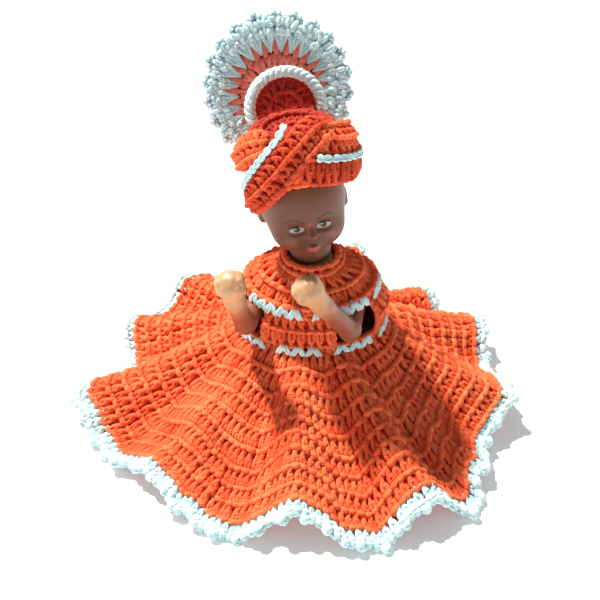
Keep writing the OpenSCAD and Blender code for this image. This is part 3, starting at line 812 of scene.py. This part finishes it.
a = np.linspace(-0.07, 1.07, 170) * np.pi
radial = around(a, 1, 0)
base = at_crest(np.zeros(3))
rope("crest_shell_rope", "crest_shell_rim", "turban", at_crest(radial * 15.8 + np.array(SHELL) + [0, 0, 3.75]),
     at_crest(radial) - base, at_crest(np.array([0, 0, 1.0])) - base, 1.2, 1.5, 7.0, strands=3)


# ---------------------------------------------------------------- moulded forms
def smin(a, b, k):
    h = np.clip(0.5 + 0.5 * (b - a) / k, 0, 1)
    return b + (a - b) * h - k * h * (1 - h)


def ball(p, centre, r):
    return np.linalg.norm(p - np.array(centre, float), axis=-1) - r


def egg(p, centre, r):
    r = np.array(r, float)
    q = (p - np.array(centre, float)) / r
    k0 = np.linalg.norm(q, axis=-1)
    return k0 * (k0 - 1) / np.maximum(np.linalg.norm(q / r, axis=-1), 1e-6)


def bar(p, a, b, ra, rb):
    """A rod from a to b whose radius goes from ra to rb."""
    a, b = np.array(a, float), np.array(b, float)
    t = np.clip(((p - a) @ (b - a)) / ((b - a) @ (b - a)), 0, 1)
    return np.linalg.norm(p - a - t[..., None] * (b - a), axis=-1) - (ra + (rb - ra) * t)


def blend(d, *parts):
    """The form d with more forms blended on: each is (distance, softness)."""
    for part, k in parts:
        d = smin(d, part, k)
    return d


def solid(f, low, high, step):
    """Points and quads of the surface where f is 0, inside where it is negative."""
    G = np.stack(np.meshgrid(*[np.arange(low[i], high[i] + step, step) for i in range(3)], indexing="ij"), -1)
    D = f(G)
    n = D.shape
    total = np.zeros((n[0] - 1, n[1] - 1, n[2] - 1, 3))
    count = np.zeros(total.shape[:3])
    edges = []
    for k in range(3):
        p, q = (k + 1) % 3, (k + 2) % 3
        near, far = [slice(None)] * 3, [slice(None)] * 3
        near[k], far[k] = slice(0, -1), slice(1, None)
        a, b = D[tuple(near)], D[tuple(far)]
        hit = (a < 0) != (b < 0)
        P = G[tuple(near)].copy()
        P[..., k] += np.where(hit, a / np.where(hit, a - b, 1), 0) * step
        P *= hit[..., None]
        for dp in (0, 1):
            for dq in (0, 1):
                s = [slice(None)] * 3
                s[p], s[q] = slice(dp, n[p] - 1 + dp), slice(dq, n[q] - 1 + dq)
                total += P[tuple(s)]
                count += hit[tuple(s)]
        edges.append((k, p, q, a < 0, hit))
    used = count > 0
    idx = np.cumsum(used.ravel()).reshape(used.shape) - 1
    V = total[used] / count[used][:, None]
    quads = []
    for k, p, q, inside, hit in edges:
        s = [slice(None)] * 3
        s[p], s[q] = slice(1, n[p] - 1), slice(1, n[q] - 1)
        h, low_in = hit[tuple(s)], inside[tuple(s)]

        def cell(dp, dq):
            t = [slice(None)] * 3
            t[p], t[q] = slice(dp, n[p] - 2 + dp), slice(dq, n[q] - 2 + dq)
            return idx[tuple(t)][h]
        quad = np.stack([cell(0, 0), cell(1, 0), cell(1, 1), cell(0, 1)], -1)
        keep = low_in[h]
        quads.append(np.where(keep[:, None], quad, quad[:, ::-1]))
    e = 0.05
    for _ in range(2):
        d = f(V)
        g = np.stack([f(V + np.eye(3)[i] * e) - f(V - np.eye(3)[i] * e) for i in range(3)], -1) / (2 * e)
        V = V - 0.9 * d[:, None] * g / np.maximum((g * g).sum(-1, keepdims=True), 0.2)
    return V, np.concatenate(quads)


def plastic_material(name, base, shade, painted=False, roughness=0.42):
    """Soft moulded plastic: waxy, a little uneven in colour, with fine scuffs."""
    mat, nt, bsdf = new_material(name)
    L = nt.links.new
    fine = noise(nt, 1400.0, 3.0, 0.6)
    colour = ramp(nt, noise(nt, 60.0, 3.0, 0.55), None, (0.3, shade), (0.7, base))
    if painted:
        paint = node(nt, "ShaderNodeAttribute", attribute_name="paint")
        mix = node(nt, "ShaderNodeMix", data_type="RGBA")
        below, above = [i for i in mix.inputs if i.type == "RGBA"]
        L(paint.outputs["Alpha"], mix.inputs["Factor"])
        L(colour, below)
        L(paint.outputs["Color"], above)
        colour = [o for o in mix.outputs if o.type == "RGBA"][0]
    L(colour, bsdf.inputs["Base Color"])
    rough = node(nt, "ShaderNodeMapRange", **{"To Min": roughness - 0.08, "To Max": roughness + 0.10})
    L(fine, rough.inputs["Value"])
    L(rough.outputs[0], bsdf.inputs["Roughness"])
    surface_feel(nt, bsdf, fine, 0.12, 0.0002, Subsurface_Weight=0.18, Subsurface_Radius=(1.0, 0.45, 0.25),
                 Subsurface_Scale=0.002)
    return mat


SKIN = plastic_material("doll_plastic_moulded", (0.62, 0.36, 0.19), (0.53, 0.28, 0.13))
ARM_PAINTED_SHADE = plastic_material("doll_plastic_arm", (0.62, 0.36, 0.19), (0.53, 0.28, 0.13), painted=True)
# the head's plastic is far darker than the arms': painted shade cast by the turban and crest
FACE_PAINTED_SHADE = plastic_material("doll_plastic_painted", (0.155, 0.048, 0.015), (0.125, 0.037, 0.011), True, 0.5)
PEARL = plastic_material("pearl_plastic_button", (0.86, 0.84, 0.78), (0.76, 0.74, 0.70), roughness=0.28)


def head_form(p):
    """The moulded head, with nose, lids, lips and ears, the face towards -Y."""
    m = p.copy()
    m[..., 0] = np.abs(m[..., 0])
    d = blend(egg(m, (0, 0.5, 35), (18.6, 18.8, 18.8)),
              (egg(m, (0, -2.0, 25.5), (16.2, 15.4, 15.4)), 7),
              (ball(m, (0, -6.0, 18.0), 9.6), 6),
              (ball(m, (0, -12.6, 12.4), 3.6), 6),
              (ball(m, (8.4, -9.0, 19.6), 6.2), 6))
    d = -smin(-d, egg(m, (6.2, -20.0, 25.4), (4.8, 4.6, 3.1)), 2.2)
    neck = np.maximum(np.hypot(m[..., 0], m[..., 1]) - 9.2, np.abs(m[..., 2] - 11) - 9.1)
    d = blend(d, (egg(m, (6.1, -14.2, 25.2), (3.8, 2.9, 2.3)), 0.9),
              (bar(m, (0, -16.4, 28.0), (0, -19.5, 22.4), 1.2, 1.9), 2.2),
              (ball(m, (1.9, -17.5, 21.8), 1.3), 1.0),
              (bar(m, (0.5, -17.4, 15.8), (2.9, -15.9, 15.3), 1.0, 0.5), 0.7),
              (bar(m, (0.0, -16.8, 14.0), (2.0, -15.9, 14.3), 1.25, 0.6), 0.8), (neck, 3))
    ear = egg(m, (18.0, 1.6, 26.4), (2.4, 3.6, 5.0))
    ear = -smin(-ear, egg(m, (20.8, 0.8, 27.0), (1.8, 2.0, 3.2)), 0.8)
    return smin(d, ear, 1.2)


def paint(ob, colour, cover):
    """Lays a colour over the plastic, point by point, with so much cover."""
    layer = ob.data.color_attributes.new("paint", "FLOAT_COLOR", "POINT")
    layer.data.foreach_set("color", np.concatenate([colour, cover[:, None]], -1).astype(np.float32).ravel())


def soft(x, edge, blur=0.16):
    """1 where x is under the edge, easing to 0 over the blur."""
    return np.clip(0.5 + (edge - x) / (2 * blur), 0, 1)


def face_paint(p):
    """Colour and cover of the painted face, for points in the head's frame."""
    x, y, z = np.abs(p[..., 0]), p[..., 1], p[..., 2]
    colour = np.zeros(p.shape[:-1] + (3,))
    cover = np.zeros(p.shape[:-1])
    front = soft(y, -8, 1.0)

    def lay(mask, c):
        nonlocal colour, cover
        mask = (mask * front)[..., None]
        colour = colour * (1 - mask) + np.array(c) * mask
        cover = np.maximum(cover, mask[..., 0])

    lay(0.45 * np.exp(-((x - 9.0) ** 2 + (z - 19.0) ** 2) / 18), (0.66, 0.24, 0.14))
    dx = (x - 5.9) / 3.3
    almond = 1.55 * np.sqrt(np.clip(1 - dx ** 2, 0, 1)) * (1 - 0.10 * dx)
    rise = z - 25.1 - 0.25 * dx
    eye = soft(np.abs(rise), almond, 0.12) * soft(np.abs(dx), 0.98, 0.03)
    # the eye whites are greyed: painted shade, like the face around them
    lay(eye, (0.42, 0.36, 0.30))
    iris = np.hypot(x - 5.8, z - 25.25)
    lay(eye * soft(iris, 1.32, 0.10), (0.050, 0.022, 0.012))
    lay(eye * soft(iris, 0.62, 0.10), (0.004, 0.003, 0.003))
    # a painted highlight in each eye
    eye_painted_highlight = np.hypot(p[..., 0] - np.sign(p[..., 0]) * 5.8 + 0.5, z - 25.8)
    lay(soft(eye_painted_highlight, 0.26, 0.08), (0.9, 0.9, 0.9))
    lid = soft(np.abs(rise - almond), 0.26 + 0.10 * np.clip(dx, 0, 1), 0.10)
    lay(lid * soft(np.abs(dx + 0.04), 1.10, 0.05), (0.014, 0.008, 0.006))
    b = (x - 6.9) / 4.6
    arch = 1 - b ** 2
    brow = soft(np.abs(z - 28.3 - 2.3 * arch + 0.25 * b), 0.12 + 0.26 * np.clip(arch, 0, 1) ** 0.7, 0.12)
    lay(brow * soft(np.abs(b), 1.0, 0.03), (0.020, 0.010, 0.007))
    lay(soft(np.hypot(x, (z - 27.9) * 0.8), 0.80, 0.14), (0.52, 0.025, 0.015))
    lip = np.clip(1 - (x / 3.1) ** 2, 0, 1)
    upper = soft(np.abs(z - 15.25 + 0.10 * x), 0.72 * lip ** 0.6, 0.14)
    lower = soft(np.abs(z - 14.05 - 0.12 * x), 0.80 * lip ** 0.7, 0.14)
    lay(np.maximum(upper, lower) * soft(x, 3.0, 0.1), (0.48, 0.085, 0.055))
    lay(soft(np.abs(z - 14.65 - 0.03 * x * x), 0.13, 0.08) * soft(x, 2.9, 0.2), (0.20, 0.03, 0.02))
    return colour, cover


def make_head():
    nu, nv = 420, 300
    t = np.linspace(-1, 1, nu, endpoint=False)
    phi = -np.pi / 2 + np.pi * (0.5 * t + 0.5 * t ** 3)
    theta = np.linspace(0, np.pi, nv)
    P, T = np.meshgrid(phi, theta, indexing="ij")
    d = np.stack([np.sin(T) * np.cos(P), np.sin(T) * np.sin(P), np.cos(T)], -1)
    centre = np.array([0, -1.0, 25.0])
    r = np.full(P.shape, 32.0)
    for _ in range(26):
        r = r - 0.85 * head_form(centre + d * r[..., None])
    p = centre + d * r[..., None]
    colour, cover = face_paint(p)
    # every corner's place in the unwrapped sheet
    i, j = np.meshgrid(np.arange(nu), np.arange(nv - 1), indexing="ij")
    uv = corners(i / nu, (i + 1) / nu, j / (nv - 1), (j + 1) / (nv - 1)).reshape(-1, 2)
    q = grid_quads(nu, nv, True)[:, [0, 3, 2, 1]]
    ob = make_mesh("head", at_head(p.reshape(-1, 3)), q, "head", FACE_PAINTED_SHADE, {"OFBake": uv})
    paint(ob, colour.reshape(-1, 3), cover.ravel())
    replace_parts(ob, "head_shell")


make_head()


def arm_form(elbow, wrist, fist):
    elbow, wrist, fist = (np.array(q, float) for q in (elbow, wrist, fist))
    hand = unit(fist - wrist)
    front = unit(np.array([0, -1.0, 0]) - hand * -hand[1])
    across = np.cross(hand, front)

    def form(p):
        d = blend(bar(p, (0, 0, 0), elbow, 5.0, 4.6), (bar(p, elbow, wrist, 4.6, 4.3), 2.5),
                  (bar(p, (0, 0, 0), (-8.5, 0, 0), 4.0, 4.0), 0.5),
                  (bar(p, wrist + hand * 2, fist - hand * 1.5, 4.4, 5.6), 3), (egg(p, fist, (6.5, 6.5, 6.5)), 2))
        for i in range(4):
            side = across * (i - 1.5) * 2.7
            near = 3.6 - 0.55 * (i - 1.5) ** 2
            knuckle = fist + side + hand * (near + 0.6) + front * 1.6
            d = smin(d, bar(p, fist + side + hand * near - front * 2.2, knuckle, 2.15, 2.1), 0.6)
            d = smin(d, bar(p, knuckle, fist + side - hand * 0.6 + front * (near + 0.6), 2.1, 1.9), 0.6)
        tip = fist - across * 3.0 + hand * 1.0 + front * 4.6
        return smin(d, bar(p, fist - across * 4.0 - hand * 2.2 + front * 2.0, tip, 2.1, 1.9), 1.0)
    return form


def limb(name, form, origin, mirror, low, high, step, fist=None):
    """A moulded limb; away from its fist, if that is given, the forearm gets painted shade with a painted orange
    reflection of the frock.
    """
    V, Q = solid(form, low, high, step)
    if mirror:
        V[:, 0] *= -1
        Q = Q[:, ::-1]
    ob = make_mesh(name + "_moulded", V + np.array(origin), Q, name, ARM_PAINTED_SHADE if fist else SKIN)
    if fist:
        away = np.linalg.norm(V * [-1 if mirror else 1, 1, 1] - np.array(fist, float), axis=1)
        # painted shade on the forearm, deepening away from the fist, tinted orange as a painted reflection of the frock
        cover = 0.9 * ease(np.clip((away - 6.5) / 17, 0, 1))
        paint(ob, np.broadcast_to([0.24, 0.045, 0.015], V.shape), cover)
    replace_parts(ob, name)


LEFT = ((-4.5, -24, -3.5), (-16, -33, 15.5), (-23, -37, 27.5))
RIGHT = ((7.8, -21, -2), (11.4, -28.5, 15.5), (13, -31, 26))
limb("left_arm", arm_form(*LEFT), (DOLL_X + 21.4, MID_Y, 64), False, (-32, -46, -11), (8, 8, 37), 0.45, LEFT[2])
limb("right_arm", arm_form(*RIGHT), (DOLL_X - 21.4, MID_Y, 64), True, (-11, -40, -10), (23, 8, 36), 0.45, RIGHT[2])


def leg_form(p):
    d = blend(bar(p, (17.8, 0, 42), (17.8, 0, 24), 6.2, 5.6), (bar(p, (17.8, 0, 24), (17.8, 0.5, 7.5), 5.6, 4.3), 2),
              (bar(p, (17.8, 1.0, 2.5), (18.3, -8, 1.9), 4.6, 4.4), 2.5),
              (bar(p, (17.8, 0, 42), (9.8, 0, 42), 4.0, 4.0), 0.5))
    for i in range(5):
        d = smin(d, ball(p, (14.9 + 1.75 * i, -11.6 + 0.35 * abs(i - 1) ** 1.5, 1.5), 1.25 - 0.08 * i), 0.6)
    return np.maximum(d, -p[..., 2])


for name, mirror in (("left_leg", False), ("right_leg", True)):
    limb(name, leg_form, (DOLL_X, MID_Y, 0), mirror, (8, -16, -1), (26, 8, 50), 0.5)

for name in ("torso_front", "torso_back", "neck_peg", "neck_button"):
    ob = bpy.data.objects[name]
    mat = PEARL if name == "neck_button" else SKIN
    for s in ob.material_slots:
        s.material = mat

# the loop over the button, and the yarn that sews the button on
a = np.linspace(0, 2 * np.pi, 60)
lean = turn("X", -56)
place = np.array([DOLL_X, MID_Y + 18.6, 78.9])
out = around(a, 1, 0) @ lean.T
up = np.broadcast_to(lean @ np.array([0, 0, 1.0]), (60, 3))
rope("button_loop_yarn", "button_loop", "torso", place + out * 4.4 + up * 0.6, out, up, 0.38, 0.5, 9, strands=2)
c = Cloth(None)
x = np.linspace(-1, 1, 15)
path = (np.stack([x * 1.1, 0 * x, 2.15 - 0.9 * np.abs(x) ** 4], -1) @ lean.T + place)[None]
c.parts = [(path, np.full((1, 15), 0.34), np.broadcast_to(up[0], path.shape).copy(), 7, np.zeros(1))]
c.build("button_thread", "torso", WHITE)


# ---------------------------------------------------------------- floor and light
def floor():
    me = bpy.data.meshes.new("floor")
    me.from_pydata([(-3, -3, 0), (3, -3, 0), (3, 3, 0), (-3, 3, 0)], [], [(0, 1, 2, 3)])
    ob = in_scene("floor", me)
    mat, nt, bsdf = new_material("floor_paper")
    cloud = node(nt, "ShaderNodeTexNoise", Scale=60.0, Detail=3.0).outputs[0]
    ramp(nt, cloud, bsdf.inputs["Base Color"], (0, (0.88, 0.88, 0.89)), (1, (0.94, 0.94, 0.94)))
    for key, value in (("Roughness", 0.9), ("Emission Color", (1, 1, 1, 1)), ("Emission Strength", 0.2)):
        bsdf.inputs[key].default_value = value
    me.materials.append(mat)


def lights():
    bpy.context.scene.view_settings.view_transform = "Standard"
    world = bpy.data.worlds.new("studio")
    bpy.context.scene.world = world
    world.use_nodes = True
    bg = world.node_tree.nodes["Background"]
    bg.inputs[0].default_value = (0.93, 0.96, 1.0, 1)
    bg.inputs[1].default_value = 0.28
    sun = in_scene("key", bpy.data.lights.new("key", "SUN"))
    sun.data.energy = 7.2
    sun.data.angle = math.radians(4)
    sun.data.color = (1.0, 0.97, 0.92)
    to_light = Vector((-0.40, 0.34, 1.0))
    sun.rotation_euler = to_light.to_track_quat("Z", "Y").to_euler()
    fill = in_scene("fill", bpy.data.lights.new("fill", "AREA"))
    fill.data.energy = 0.15
    fill.data.size = 0.6
    fill.location = (-0.35, -0.6, 0.55)
    fill.rotation_euler = (Vector((0, 0, 0.08)) - fill.location).to_track_quat("-Z", "Y").to_euler()


floor()
lights()
